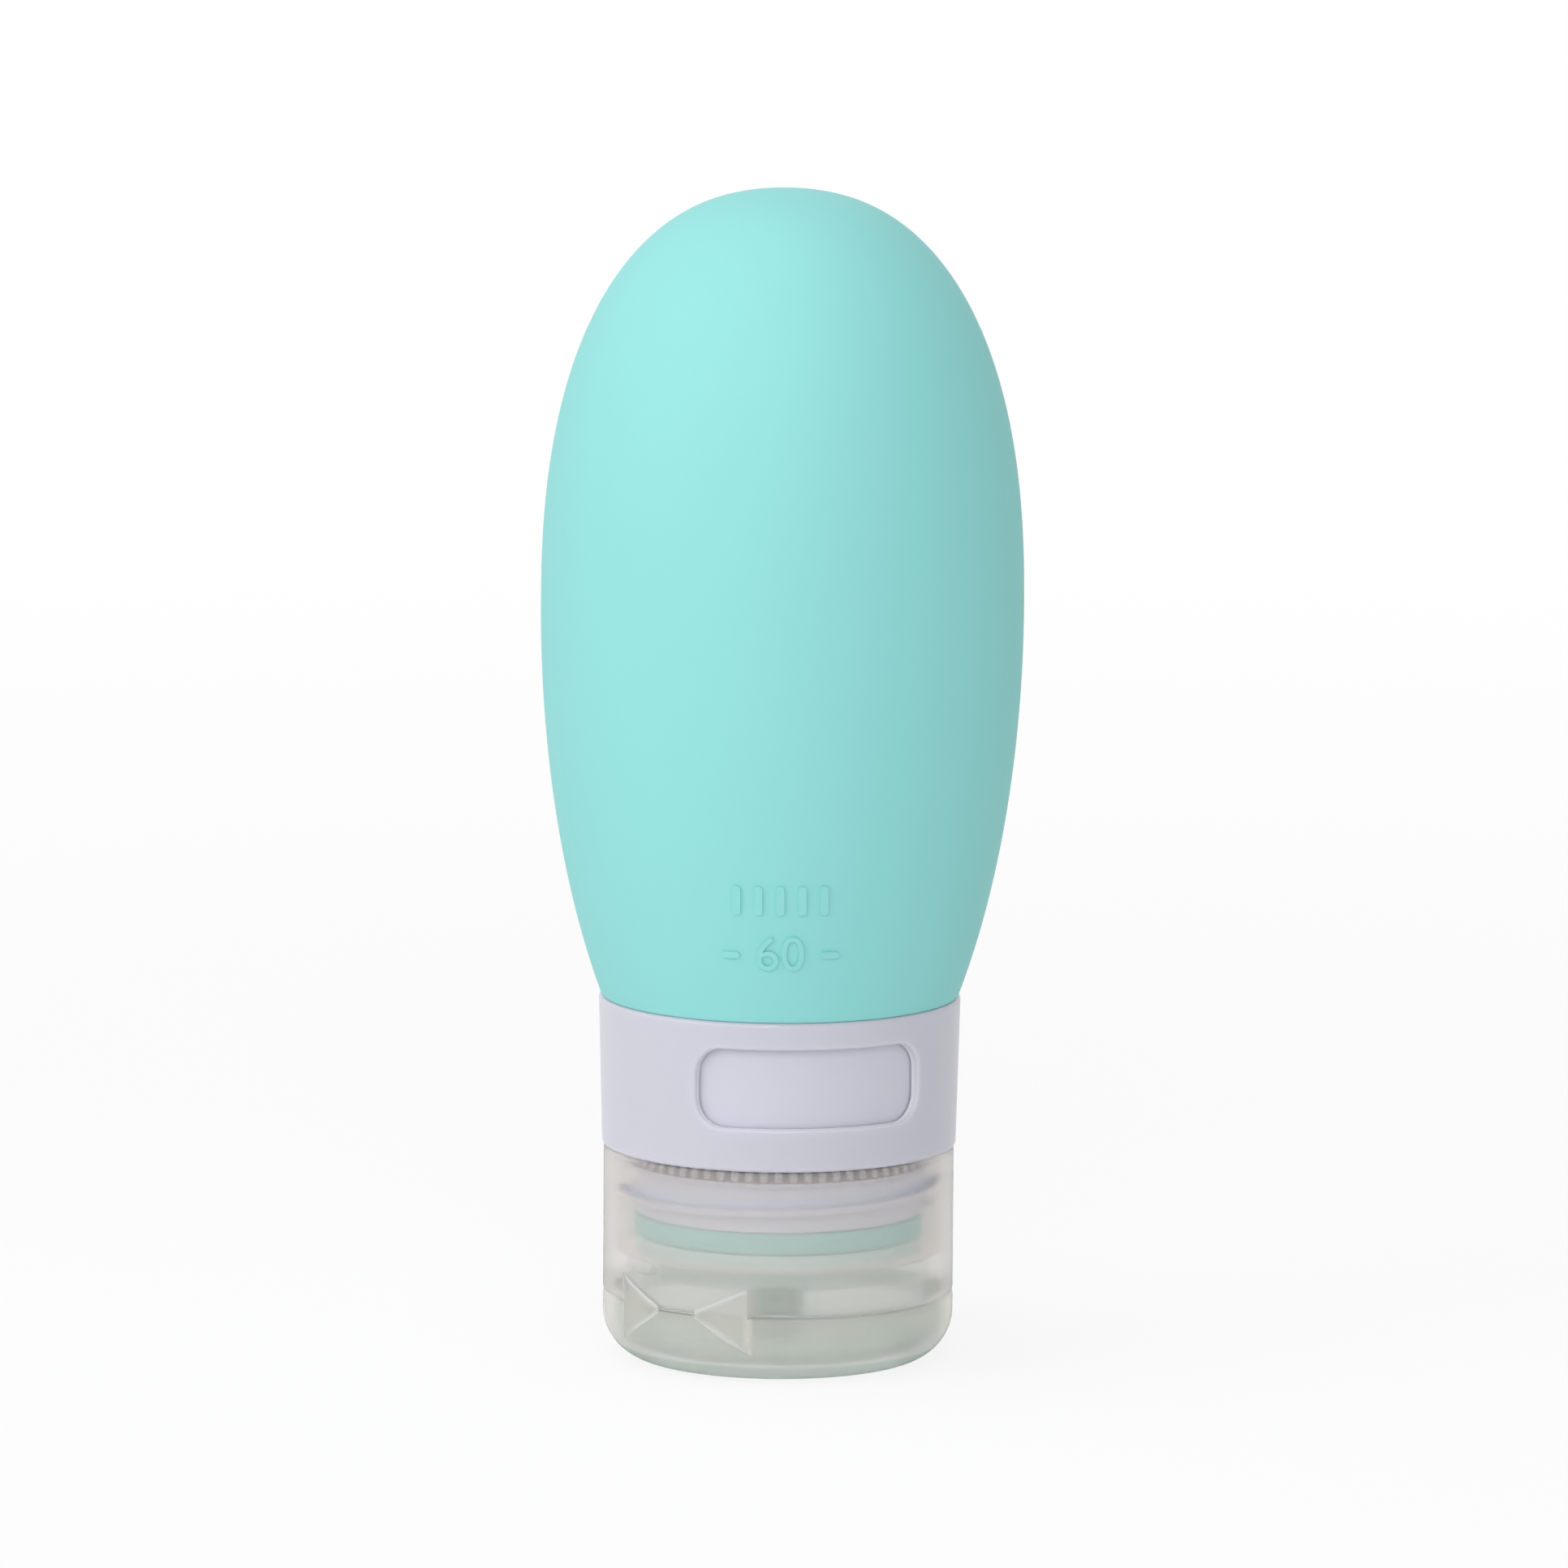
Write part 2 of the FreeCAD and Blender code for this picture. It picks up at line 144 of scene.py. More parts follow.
@dataclass(frozen=True)
class Tree:
    """Adds the nodes of one shader or Geometry Nodes tree."""

    nodes: bpy.types.NodeTree

    def add(
        self,
        kind: str,
        inputs: Mapping[int | str, Any] | None = None,
        output: int | str = 0,
        **settings: Any,
    ) -> Socket:
        """Add a node of any kind.

        Args:
            kind: the node's type.
            inputs: the values or links of its inputs, by name or number.
            output: the output that is handed back.
            settings: its own settings, which are set first.

        Returns:
            The chosen output of the new node, or the first input of one that has no outputs.
        """
        node = self.nodes.nodes.new(kind)
        for name, value in settings.items():
            setattr(node, name, value)
        for name, value in (inputs or {}).items():
            self.feed(node.inputs[name], value)
        return Socket(self, node.outputs[output] if len(node.outputs) else node.inputs[0])

    def feed(self, target: bpy.types.NodeSocket, value: Any) -> None:
        """Link a socket to an input, or set the input's own value.

        Args:
            target: the input.
            value: a Socket, a list of them, or a plain value.
        """
        if isinstance(value, Socket):
            self.nodes.links.new(value.source, target)
        elif isinstance(value, list):
            for one in value:
                self.nodes.links.new(one.source, target)
        elif isinstance(value, tuple) and target.type == "RGBA":
            target.default_value = (*value, 1.0)
        else:
            target.default_value = value

    def noise(self, place: Socket, size: float, detail: float) -> Socket:
        """Return the height of a noise, with spots of a size in millimetres and finer detail."""
        inputs = {"Vector": place, "Scale": 1 / (size * MM), "Detail": detail}
        return self.add("ShaderNodeTexNoise", inputs)

    def mix(self, share: Socket, first: Socket | Colour, second: Colour) -> Socket:
        """Return the mix of two colours, with this share of the second."""
        inputs = {0: share, MIX_FIRST: first, MIX_SECOND: second}
        return self.add("ShaderNodeMix", inputs, MIX_RESULT, data_type="RGBA")

    def rise(
        self, value: Socket, low: float, high: float, start: float = 0.0, end: float = 1.0
    ) -> Socket:
        """Return a mask that rises smoothly between a low and a high value.

        Args:
            value: what the mask follows.
            low: the value up to which the mask stays at its start.
            high: the value from which it stays at its end.
            start: the mask at the low value.
            end: the mask at the high value.

        Returns:
            The mask.
        """
        return self.add(
            "ShaderNodeMapRange",
            {"Value": value, "From Min": low, "From Max": high, "To Min": start, "To Max": end},
            interpolation_type="SMOOTHSTEP",
        )


def new_nodes(owner: bpy.types.Material | bpy.types.World) -> Tree:
    """Start on the empty node tree of a material or a world.

    Args:
        owner: the material or the world.

    Returns:
        Its tree.
    """
    owner.use_nodes = True
    owner.node_tree.nodes.clear()
    return Tree(owner.node_tree)


class Wear(Enum):
    """How a finish changes over its piece."""

    NONE = "none"
    RESTING_EDGE = "rubbed where the piece stands"
    # Painted highlights along the rims of the hinge's plates.
    PAINTED_RIM_HIGHLIGHTS = "whitened along folds"


@dataclass(frozen=True)
class Finish:
    """One moulded material: two close tones, a fine grain, its gloss and how much shines through.

    With an inner edge it has another tone nearer the axis than that, painted light or shade, and
    covers less there.
    """

    name: str
    tone: Colour
    second_tone: Colour
    roughness: float
    roughness_swing: float = 0.06
    cloud_size: float = 9.0
    grain_size: float = 0.35
    grain_depth: float = 0.006
    specular: float = 0.5
    subsurface: float = 0.0
    subsurface_depth: float = 1.0
    transmission: float = 0.0
    refraction: float = 1.45
    inner_painted_tone: Colour = WHITE
    inner_cover: float = 1.0
    inner_edge: float = 0.0
    inner_reach: float = 0.15
    wear: Wear = Wear.NONE
    # The tone of the painted highlights on a hinge plate's rims.
    highlight_tone: Colour = WHITE
    wear_reach: float = 1.2
    wear_roughness: float = 0.2

    def material(self) -> bpy.types.Material:
        """Make the finish a procedural material, once.

        Returns:
            The material.
        """
        made = bpy.data.materials.get(self.name)
        if made:
            return made
        made = bpy.data.materials.new(self.name)
        tree = new_nodes(made)
        place = tree.add("ShaderNodeTexCoord", output="Object")
        cloud = tree.noise(place, self.cloud_size, CLOUD_DETAIL)
        grain = tree.noise(place, self.grain_size, GRAIN_DETAIL)
        colour = tree.mix(cloud * CLOUD_SHARE + grain * GRAIN_SHARE, self.tone, self.second_tone)
        roughness = (cloud - NOISE_MEAN) * self.roughness_swing + self.roughness
        axes = tree.add("ShaderNodeSeparateXYZ", {0: place})
        cover: Value = 1.0
        # The inner tone paints light or shade nearer the axis than the inner edge: paler in some
        # finishes, darker in others.
        if self.inner_edge:
            radius = (axes * axes + axes.other("Y") * axes.other("Y")) ** 0.5
            near_edge = (self.inner_edge - self.inner_reach) * MM
            near = 1 - tree.rise(radius, near_edge, self.inner_edge * MM)
            colour = tree.mix(near, colour, self.inner_painted_tone)
            if self.inner_cover < 1:
                cover = 1 - near * (1 - self.inner_cover)
        if self.wear is Wear.RESTING_EDGE:
            rubbed = 1 - tree.rise(axes.other("Z"), 0.0, self.wear_reach * MM)
            roughness = roughness + rubbed * cloud * self.wear_roughness
        normal = tree.add(
            "ShaderNodeBump",
            {"Strength": 1.0, "Distance": self.grain_depth * MM, "Height": grain},
            output="Normal",
        )
        shader = tree.add(
            "ShaderNodeBsdfPrincipled",
            {
                "Base Color": colour,
                "Roughness": roughness,
                "Normal": normal,
                "Specular IOR Level": self.specular,
                "Subsurface Weight": self.subsurface,
                "Subsurface Radius": WHITE,
                "Subsurface Scale": self.subsurface_depth * MM,
                "Transmission Weight": self.transmission,
                "IOR": self.refraction,
                "Alpha": cover,
            },
        )
        # Painted highlights: a paler opaque shader mixed in along the rims of the hinge's plates.
        if self.wear is Wear.PAINTED_RIM_HIGHLIGHTS:
            fold = tree.add("ShaderNodeAttribute", output="Fac", attribute_name="fold")
            white = tree.add(
                "ShaderNodeBsdfPrincipled",
                {"Base Color": self.highlight_tone, "Roughness": self.roughness},
            )
            shader = tree.add("ShaderNodeMixShader", {0: fold, 1: shader, 2: white})
        tree.add("ShaderNodeOutputMaterial", {"Surface": shader})
        return made


SILICONE = Finish(
    name="mint_silicone",
    tone=(0.298, 0.722, 0.701),
    second_tone=(0.285, 0.707, 0.688),
    roughness=0.55,
    grain_size=0.22,
    grain_depth=0.004,
    specular=0.2,
)
# Its inner tone is painted light: the window's walls, nearer the axis than 15.3 mm, are paler to
# lift the shade in the recess round the label ring.
COLLAR = Finish(
    name="lilac_plastic",
    tone=(0.625, 0.62, 0.7),
    second_tone=(0.61, 0.605, 0.685),
    roughness=0.3,
    grain_depth=0.002,
    subsurface=0.6,
    subsurface_depth=1.2,
    inner_painted_tone=(0.86, 0.86, 0.93),
    inner_edge=15.3,
    inner_reach=0.3,
)
# Its inner tone is painted shade: the knurl's grooves, nearer the axis than 13.13 mm, are near
# black for the shade between the teeth.
RING = Finish(
    name="label_plastic",
    tone=(0.65, 0.655, 0.735),
    second_tone=(0.635, 0.64, 0.72),
    roughness=0.4,
    grain_depth=0.002,
    subsurface=0.6,
    subsurface_depth=1.2,
    inner_painted_tone=(0.07, 0.07, 0.11),
    inner_edge=13.13,
    inner_reach=0.1,
)
NUMBERS = Finish(
    name="label_print",
    tone=(0.2, 0.21, 0.25),
    second_tone=(0.18, 0.19, 0.23),
    roughness=0.5,
    grain_depth=0.001,
)
SLEEVE = Finish(
    name="sleeve_plastic",
    tone=(0.72, 0.765, 0.91),
    second_tone=(0.7, 0.745, 0.89),
    roughness=0.38,
    grain_depth=0.002,
)
# Its inner tone is painted light: the cap's inner parts, nearer the axis than 13.4 mm, are paler
# to lift the shade inside the cap, and cover less.
FROSTED = Finish(
    name="frosted_plastic",
    tone=(0.86, 0.83, 0.805),
    second_tone=(0.845, 0.815, 0.79),
    roughness=0.35,
    grain_size=0.3,
    grain_depth=0.002,
    transmission=0.76,
    refraction=1.06,
    inner_painted_tone=(0.95, 1.0, 0.98),
    inner_cover=0.4,
    inner_edge=13.4,
    inner_reach=0.3,
)
# Its inner tone is painted shade: the lid's parts nearer the axis than 14.4 mm are darker and
# greener, shade tinted like the teal flange that shows through.
LID = Finish(
    name="frosted_lid_plastic",
    tone=(0.95, 0.92, 0.89),
    second_tone=(0.93, 0.905, 0.875),
    roughness=0.6,
    grain_size=0.3,
    grain_depth=0.002,
    transmission=0.75,
    refraction=1.07,
    inner_painted_tone=(0.61, 0.675, 0.63),
    inner_edge=14.4,
    inner_reach=0.4,
    wear=Wear.RESTING_EDGE,
)
# Its plates' rims carry painted highlights, brightest along the upper rim where light falls.
HINGE = Finish(
    name="frosted_hinge_plastic",
    tone=(0.88, 0.865, 0.84),
    second_tone=(0.86, 0.85, 0.825),
    roughness=0.5,
    grain_depth=0.002,
    transmission=0.78,
    refraction=1.06,
    wear=Wear.PAINTED_RIM_HIGHLIGHTS,
    highlight_tone=(0.72, 0.74, 0.72),
)
MILKY = Finish(
    name="milky_silicone",
    tone=(0.66, 0.92, 0.95),
    second_tone=(0.64, 0.9, 0.93),
    roughness=0.4,
    grain_depth=0.003,
    subsurface=0.4,
    subsurface_depth=1.5,
)


def new_group(name: str, inputs: Sequence[tuple[str, str]]) -> tuple[Tree, Socket, dict[str, str]]:
    """Start a Geometry Nodes tree with named inputs.

    Args:
        name: the tree's name.
        inputs: the name and socket type of each input after the geometry.

    Returns:
        The tree, its input node's first output, and each input's identifier by name.
    """
    group = bpy.data.node_groups.new(name, "GeometryNodeTree")
    group.interface.new_socket("Geometry", in_out="INPUT", socket_type="NodeSocketGeometry")
    names = {
        label: group.interface.new_socket(label, in_out="INPUT", socket_type=kind).identifier
        for label, kind in inputs
    }
    group.interface.new_socket("Geometry", in_out="OUTPUT", socket_type="NodeSocketGeometry")
    tree = Tree(group)
    return tree, tree.add("NodeGroupInput"), names


def end_group(tree: Tree, geometry: Socket, finish: Socket) -> None:
    """Close a Geometry Nodes tree: real faces, their material, the output.

    Args:
        tree: the tree.
        geometry: what the tree has made.
        finish: the input that holds the material.
    """
    real = tree.add("GeometryNodeRealizeInstances", {0: geometry})
    painted = tree.add("GeometryNodeSetMaterial", {"Geometry": real, "Material": finish})
    tree.add("NodeGroupOutput", {0: painted})


def add_object(name: str, data: bpy.types.ID) -> bpy.types.Object:
    """Put a new object with this data into the scene.

    Args:
        name: the object's name.
        data: its mesh, lamp or camera.

    Returns:
        The object.
    """
    made = bpy.data.objects.new(name, data)
    bpy.context.scene.collection.objects.link(made)
    return made


def keep_shape(piece: bpy.types.Object) -> None:
    """Keep the shape that a piece's modifiers give as its mesh, and take them off.

    Args:
        piece: the piece.
    """
    graph = bpy.context.evaluated_depsgraph_get()
    made = bpy.data.meshes.new_from_object(piece.evaluated_get(graph), depsgraph=graph)
    piece.modifiers.clear()
    piece.data = made
    made.name = piece.name


def shell_mesh(name: str, shell: bmesh.types.BMesh) -> bpy.types.Mesh:
    """Make a mesh of a working shell and free the shell.

    Args:
        name: the mesh's name.
        shell: the shell.

    Returns:
        The mesh.
    """
    mesh = bpy.data.meshes.new(name)
    shell.to_mesh(mesh)
    shell.free()
    return mesh


def run_group(
    name: str,
    mesh: bpy.types.Mesh,
    tree: Tree,
    names: Mapping[str, str],
    values: Mapping[str, Any],
) -> bpy.types.Object:
    """Make a plain mesh object with a Geometry Nodes tree.

    Args:
        name: the object's name.
        mesh: what the tree starts from.
        tree: the tree.
        names: each input's identifier by name.
        values: each input's value by name.

    Returns:
        The finished object, with no modifier left on it.
    """
    piece = add_object(name, mesh)
    modifier = piece.modifiers.new(name, "NODES")
    modifier.node_group = tree.nodes
    for label, value in values.items():
        modifier[names[label]] = value
    keep_shape(piece)
    return piece


def face_outwards(piece: bpy.types.Object) -> None:
    """Turn the faces of a closed mesh outwards.

    Args:
        piece: the object that has the mesh.
    """
    shell = bmesh.new()
    shell.from_mesh(piece.data)
    bmesh.ops.recalc_face_normals(shell, faces=shell.faces)
    shell.to_mesh(piece.data)
    shell.free()


def rounded_corner(
    before: Vector, corner: Vector, after: Vector, radius: float, steps: int
) -> list[Vector]:
    """Return points along the arc that rounds a flat corner.

    Args:
        before: a point on the way in.
        corner: the sharp corner.
        after: a point on the way out.
        radius: the arc's radius.
        steps: how many parts the arc is divided into.

    Returns:
        The arc's points, from the way in to the way out.
    """
    way_in = (before - corner).normalized()
    way_out = (after - corner).normalized()
    half = way_in.angle(way_out) / 2
    centre = corner + (way_in + way_out).normalized() * (radius / math.sin(half))
    reach = radius / math.tan(half)
    first = (corner + way_in * reach - centre).normalized()
    last = (corner + way_out * reach - centre).normalized()
    return [centre + first.slerp(last, step / steps) * radius for step in range(steps + 1)]


def lathe_tree() -> tuple[Tree, dict[str, str]]:
    """Build the tree that turns an outline round the Z axis.

    Returns:
        The tree and its inputs' identifiers by name.
    """
    tree, given, names = new_group(
        "turned_outline",
        [
            ("Steps", "NodeSocketInt"),
            ("Guide Radius", "NodeSocketFloat"),
            ("Sharp Angle", "NodeSocketFloat"),
            ("Merge Distance", "NodeSocketFloat"),
            ("Finish", "NodeSocketMaterial"),
        ],
    )
    outline = tree.add("GeometryNodeMeshToCurve", {"Mesh": given})
    circle = tree.add(
        "GeometryNodeCurvePrimitiveCircle",
        {"Resolution": given.other("Steps"), "Radius": given.other("Guide Radius")},
    )
    level = tree.add("GeometryNodeSetCurveNormal", {"Curve": circle}, mode="Z_UP")
    swept = tree.add("GeometryNodeCurveToMesh", {"Curve": level, "Profile Curve": outline})
    merged = tree.add(
        "GeometryNodeMergeByDistance",
        {"Geometry": swept, "Distance": given.other("Merge Distance")},
    )
    bend = tree.add("GeometryNodeInputMeshEdgeAngle")
    sharp = tree.add(
        "FunctionNodeCompare",
        {0: bend, 1: given.other("Sharp Angle")},
        operation="GREATER_THAN",
    )
    smooth = tree.add(
        "GeometryNodeSetShadeSmooth",
        {"Geometry": merged, "Shade Smooth": True},
        domain="FACE",
    )
    creased = tree.add(
        "GeometryNodeSetShadeSmooth",
        {"Geometry": smooth, "Selection": sharp, "Shade Smooth": False},
        domain="EDGE",
    )
    end_group(tree, creased, given.other("Finish"))
    return tree, names


MARK_INPUTS = [
    ("Raise", "NodeSocketFloat"),
    ("Sink", "NodeSocketFloat"),
    ("Level", "NodeSocketFloat"),
    ("Turn", "NodeSocketFloat"),
    ("Widest Level", "NodeSocketFloat"),
    ("Widest Radius", "NodeSocketFloat"),
    ("Taper Depth", "NodeSocketFloat"),
    ("Finish", "NodeSocketMaterial"),
]


def wrap_marks(tree: Tree, given: Socket, flat: Socket) -> None:
    """Thicken flat marks, lay them on a tapered wall and close the tree.

    Args:
        tree: the tree.
        given: the tree's input node.
        flat: the flat faces, with X along the wall and Y up it.
    """
    fine = tree.add("GeometryNodeSubdivideMesh", {"Mesh": flat, "Level": MARK_HALVINGS})
    thick = tree.add(
        "GeometryNodeExtrudeMesh",
        {
            "Mesh": fine,
            "Offset Scale": given.other("Raise") + given.other("Sink"),
            "Individual": False,
        },
        mode="FACES",
    )
    back = tree.add("GeometryNodeFlipFaces", {0: fine})
    joined = tree.add("GeometryNodeJoinGeometry", {0: [thick, back]})
    closed = tree.add("GeometryNodeMergeByDistance", {"Geometry": joined, "Distance": WELD})
    place = tree.add("GeometryNodeInputPosition")
    along = tree.add("ShaderNodeSeparateXYZ", {0: place})
    level = along.other("Y") + given.other("Level")
    share = (given.other("Widest Level") - level) / given.other("Taper Depth")
    wall = given.other("Widest Radius") * (1 - share * share) ** 0.5
    angle = along / wall + given.other("Turn")
    out = wall + along.other("Z") - given.other("Sink")
    sideways = out * angle.maths("SINE", angle)
    frontways = out * angle.maths("COSINE", angle)
    wrapped = tree.add("ShaderNodeCombineXYZ", {0: sideways, 1: frontways * -1.0, 2: level})
    laid = tree.add("GeometryNodeSetPosition", {"Geometry": closed, "Position": wrapped})
    flat_shaded = tree.add(
        "GeometryNodeSetShadeSmooth",
        {"Geometry": laid, "Shade Smooth": False},
        domain="FACE",
    )
    end_group(tree, flat_shaded, given.other("Finish"))


def number_tree() -> tuple[Tree, dict[str, str]]:
    """Build the tree that lays a plain number on a wall.

    Returns:
        The tree and its inputs' identifiers by name.
    """
    tree, given, names = new_group(
        "laid_number",
        [("Number", "NodeSocketString"), ("Height", "NodeSocketFloat"), *MARK_INPUTS],
    )
    letters = tree.add(
        "GeometryNodeStringToCurves",
        {"String": given.other("Number"), "Size": given.other("Height")},
        align_x="CENTER",
        align_y="MIDDLE",
    )
    curves = tree.add("GeometryNodeRealizeInstances", {0: letters})
    flat = tree.add("GeometryNodeFillCurve", {"Curve": curves}, mode="TRIANGLES")
    wrap_marks(tree, given, flat)
    return tree, names


def tick_tree() -> tuple[Tree, dict[str, str]]:
    """Build the tree that lays a row of ticks on a wall.

    Returns:
        The tree and its inputs' identifiers by name.
    """
    tree, given, names = new_group(
        "laid_ticks",
        [
            ("Count", "NodeSocketInt"),
            ("Span", "NodeSocketFloat"),
            ("Width", "NodeSocketFloat"),
            ("Height", "NodeSocketFloat"),
            *MARK_INPUTS,
        ],
    )
    start = tree.add("ShaderNodeCombineXYZ", {0: given.other("Span") * -0.5})
    end = tree.add("ShaderNodeCombineXYZ", {0: given.other("Span") * 0.5})
    row = tree.add(
        "GeometryNodeMeshLine",
        {"Count": given.other("Count"), "Start Location": start, "Offset": end},
        mode="END_POINTS",
        count_mode="TOTAL",
    )
    bar = tree.add(
        "GeometryNodeCurvePrimitiveQuadrilateral",
        {"Width": given.other("Width"), "Height": given.other("Height")},
        mode="RECTANGLE",
    )
    soft = tree.add(
        "GeometryNodeFilletCurve",
        {
            "Curve": bar,
            "Count": TICK_CORNER_STEPS,
            "Radius": given.other("Width") * TICK_CORNER_SHARE,
            "Limit Radius": True,
        },
        mode="POLY",
    )
    flat = tree.add("GeometryNodeFillCurve", {"Curve": soft}, mode="TRIANGLES")
    rowed = tree.add("GeometryNodeInstanceOnPoints", {"Points": row, "Instance": flat})
    real = tree.add("GeometryNodeRealizeInstances", {0: rowed})
    wrap_marks(tree, given, real)
    return tree, names


def turned_piece(
    name: str, outline: Sequence[Vector], guide: float, steps: int, finish: Finish
) -> bpy.types.Object:
    """Turn a half section round the Z axis into a closed piece.

    Args:
        name: the piece's name.
        outline: its (radius, level) points, from the axis round the outside to the axis.
        guide: the radius of the circle that leads the turn.
        steps: how many parts the turn is divided into.
        finish: what the piece is made of.

    Returns:
        The finished piece.
    """
    points = [tuple(Vector((point.x - guide, -point.y, 0.0)) * MM) for point in outline]
    edges = [(index, index + 1) for index in range(len(points) - 1)]
    section = bpy.data.meshes.new(f"{name}_outline")
    section.from_pydata(points, edges, [])
    tree, names = lathe_tree()
    piece = run_group(
        name,
        section,
        tree,
        names,
        {
            "Steps": steps,
            "Guide Radius": guide * MM,
            "Sharp Angle": math.radians(SHARP_DEG),
            "Merge Distance": WELD,
            "Finish": finish.material(),
        },
    )
    face_outwards(piece)
    return piece


@dataclass(frozen=True)
class TickRow:
    """A row of ticks: their count, the span from first to last, and the size of each."""

    count: int
    span: float
    width: float
    height: float

    def values(self) -> dict[str, float]:
        """Return the inputs of the row's tree by name."""
        lengths = {"Span": self.span, "Width": self.width, "Height": self.height}
        return {"Count": self.count, **{name: size * MM for name, size in lengths.items()}}


@dataclass
class SqueezeBody:
    """The silicone egg with its neck, its mouth flange and its raised marks.

    Its crown is a superellipse, and its taper is an ellipse.
    """

    radius: float = 21.0
    wall: float = 2.0
    crown_level: float = 102.7
    crown_height: float = 36.3
    crown_fullness: float = 0.4255
    shoulder_level: float = 32.1
    shoulder_radius: float = 15.55
    shoulder_round: float = 0.25
    shoulder_steps: int = 6
    shoulder_clear_share: float = 0.25
    shoulder_thickness: float = 2.2
    neck_bore: float = 9.2
    neck_radius: float = 11.0
    flange_radius: float = 12.5
    flange_low: float = 11.1
    flange_top: float = 13.0
    flange_round: float = 0.4
    flange_steps: int = 5
    curve_steps: int = 56
    turn_steps: int = 144
    mark_raise: float = 0.2
    mark_sink: float = 0.3
    number: str = "60"
    number_height: float = 4.4
    number_level: float = 38.4
    tick_level: float = 43.4
    ticks: TickRow = TickRow(count=5, span=7.6, width=0.7, height=2.6)
    bars: TickRow = TickRow(count=2, span=8.6, width=1.6, height=0.6)

    @property
    def widest_level(self) -> float:
        """Return the level of the widest ring."""
        return self.crown_level - self.crown_height

    def taper_depth(self, radius: float, end_radius: float, end_level: float) -> float:
        """Return the half height of the ellipse that a taper follows."""
        return (self.widest_level - end_level) / math.sin(math.acos(end_radius / radius))

    def crown(self, radius: float, height: float) -> list[Vector]:
        """Follow a crown from its tip down to the widest ring.

        Args:
            radius: its radius at the widest ring.
            height: its height above that ring.

        Returns:
            Its (radius, level) points.
        """
        power = 2 * self.crown_fullness
        points = []
        for step in range(self.curve_steps + 1):
            angle = math.pi / 2 * (1 - step / self.curve_steps)
            side = radius * max(math.cos(angle), 0.0) ** power if step else 0.0
            points.append(Vector((side, self.widest_level + height * math.sin(angle) ** power)))
        return points

    def taper(self, radius: float, end_radius: float, end_level: float) -> list[Vector]:
        """Follow a taper from below the widest ring down to its end.

        Args:
            radius: its radius at the widest ring.
            end_radius: its radius at its end.
            end_level: the level of its end.

        Returns:
            Its (radius, level) points.
        """
        end_angle = math.acos(end_radius / radius)
        depth = self.taper_depth(radius, end_radius, end_level)
        points = []
        for step in range(1, self.curve_steps + 1):
            angle = end_angle * step / self.curve_steps
            level = self.widest_level - depth * math.sin(angle)
            points.append(Vector((radius * math.cos(angle), level)))
        return points

    def outline(self) -> list[Vector]:
        """Draw the half section.

        Returns:
            Its (radius, level) points, from the crown's tip round the mouth to the inside's top.
        """
        outer_taper = self.taper(self.radius, self.shoulder_radius, self.shoulder_level)
        shoulder = outer_taper.pop()
        neck_top = Vector((self.neck_radius, self.shoulder_level))
        rim = rounded_corner(
            outer_taper[-1], shoulder, neck_top, self.shoulder_round, self.shoulder_steps
        )
        lowest = rim[0].y + self.shoulder_round * self.shoulder_clear_share
        kept = [point for point in outer_taper if point.y > lowest]
        flange_under = Vector((self.flange_radius, self.flange_top))
        flange_corner = Vector((self.flange_radius, self.flange_low))
        mouth = Vector((self.neck_bore, self.flange_low))
        inside_level = self.shoulder_level + self.shoulder_thickness
        inside_radius = self.shoulder_radius - self.wall
        inner = self.radius - self.wall
        inner_taper = self.taper(inner, inside_radius, inside_level)
        inner_crown = self.crown(inner, self.crown_height - self.wall)
        return [
            *self.crown(self.radius, self.crown_height),
            *kept,
            *rim,
            neck_top,
            Vector((self.neck_radius, self.flange_top)),
            flange_under,
            *rounded_corner(
                flange_under, flange_corner, mouth, self.flange_round, self.flange_steps
            ),
            mouth,
            Vector((self.neck_bore, inside_level)),
            *reversed(inner_taper),
            *reversed(inner_crown),
        ]

    def build(self) -> bpy.types.Object:
        """Turn the body's outline and return the finished shell."""
        guide = self.neck_bore / 2
        return turned_piece("silicone_body", self.outline(), guide, self.turn_steps, SILICONE)

    def mark_values(self, level: float) -> dict[str, Any]:
        """Work out the inputs that lay a mark on the body's taper.

        Args:
            level: the level of the mark's middle.

        Returns:
            The inputs' values by name.
        """
        depth = self.taper_depth(self.radius, self.shoulder_radius, self.shoulder_level)
        return {
            "Raise": self.mark_raise * MM,
            "Sink": self.mark_sink * MM,
            "Level": level * MM,
            "Turn": 0.0,
            "Widest Level": self.widest_level * MM,
            "Widest Radius": self.radius * MM,
            "Taper Depth": depth * MM,
            "Finish": SILICONE.material(),
        }

    def build_marks(self) -> list[bpy.types.Object]:
        """Make the raised number, the row of ticks and the number's bars.

        Returns:
            The three pieces.
        """
        number = {"Number": self.number, "Height": self.number_height * MM}
        numbers, rows = number_tree(), tick_tree()
        marks = (
            ("raised_number", numbers, self.number_level, number),
            ("raised_ticks", rows, self.tick_level, self.ticks.values()),
            ("raised_bars", rows, self.number_level, self.bars.values()),
        )
        pieces = []
        for name, (tree, names), level, sizes in marks:
            start = bpy.data.meshes.new("mark_start")
            values = {**sizes, **self.mark_values(level)}
            pieces.append(run_group(name, start, tree, names, values))
        return pieces

    def dress(self) -> None:
        """Build the body and its marks, and fix them to the bottle."""
        body = self.build()
        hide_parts("bottle_body")
        for piece in [body, *self.build_marks()]:
            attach(piece, "bottle")
            report(piece)


